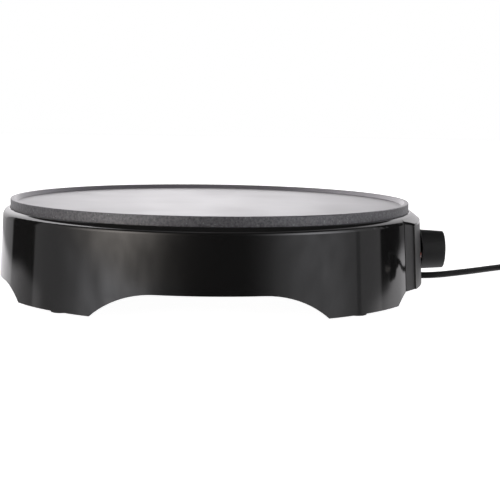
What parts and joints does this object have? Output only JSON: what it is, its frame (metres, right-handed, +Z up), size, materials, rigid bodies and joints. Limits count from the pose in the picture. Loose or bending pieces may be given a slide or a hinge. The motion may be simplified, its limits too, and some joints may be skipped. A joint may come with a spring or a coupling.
{
  "type": "electric crepe maker",
  "caption": "Round electric crepe maker with a flat rimmed hotplate on a glossy black drum-shaped housing, standing on legs between arches, with a thermostat knob at its side and a mains cord.",
  "frame": {"origin": "on the table, under the middle of the appliance's own bounding box, without its cord", "axes": "+X to the side with the knob and the cord, -Y to the front, +Z up"},
  "size_m": [0.5066, 0.3154, 0.0697],
  "materials": {
    "nonstick_plate": "satin nonstick coating on cast metal",
    "heater_steel": "dull",
    "shield_metal": "mill finish sheet",
    "ceramic": "matt",
    "fastener_steel": "zinc plated",
    "gloss_black": "moulded, glossy",
    "matt_black": "moulded, fine matt texture",
    "lamp_lens": "clear red",
    "lamp_glass": "clear",
    "rubber": "matt",
    "phenolic": "moulded phenolic",
    "copper_alloy": "tinned brass",
    "copper_tube": "drawn copper",
    "fuse_case": "glazed",
    "terminal_plastic": "moulded",
    "wire_brown": "sleeved wire",
    "wire_blue": "sleeved wire",
    "wire_white": "glass-fibre sleeved wire",
    "cord_black": "satin",
    "pin_metal": "nickel plated"
  },
  "bodies": {
    "base": {"base_cover": "matt_black", "base_cover_screws": "fastener_steel", "bulb_clips": "fastener_steel", "capillary_tube": "copper_tube", "control_frame": "matt_black", "control_frame_screws": "fastener_steel", "control_panel": "gloss_black", "cord_clamp": "matt_black", "cord_clamp_screws": "fastener_steel", "cord_coil": "cord_black", "cord_tail": "cord_black", "element_terminals": "heater_steel", "fuse_clip": "fastener_steel", "heat_shield": "shield_metal", "heating_element": "heater_steel", "hotplate": "nonstick_plate", "housing": "gloss_black", "indicator_lamps": "lamp_glass", "lead_power_lamp": "wire_white", "lead_ready_lamp": "wire_white", "plate_screws": "fastener_steel", "plate_spacers": "ceramic", "plug_body": "cord_black", "plug_pins": "pin_metal", "power_cord": "cord_black", "power_lamp_lens": "lamp_lens", "ready_lamp_lens": "lamp_lens", "rubber_foot_front_left": "rubber", "rubber_foot_front_right": "rubber", "rubber_foot_rear_left": "rubber", "rubber_foot_rear_right": "rubber", "sensor_bulb": "copper_tube", "strain_relief": "cord_black", "terminal_block": "terminal_plastic", "terminal_block_screws": "fastener_steel", "thermal_fuse": "fuse_case", "thermostat_body": "phenolic", "thermostat_bracket": "fastener_steel", "thermostat_screws": "fastener_steel", "thermostat_terminals": "copper_alloy", "wire_element": "wire_white", "wire_fuse": "wire_white", "wire_line_in": "wire_brown", "wire_return": "wire_blue", "wire_return_in": "wire_blue", "wire_thermostat": "wire_brown"},
    "knob": {"knob": "matt_black", "thermostat_shaft": "fastener_steel"}
  },
  "joints": [
    {"name": "knob_turn", "type": "hinge", "parent": "base", "child": "knob", "pos_m": [0.15126, 0, 0.0321], "axis": [-1, 0, 0], "range_deg": [0, 270]}
  ]
}
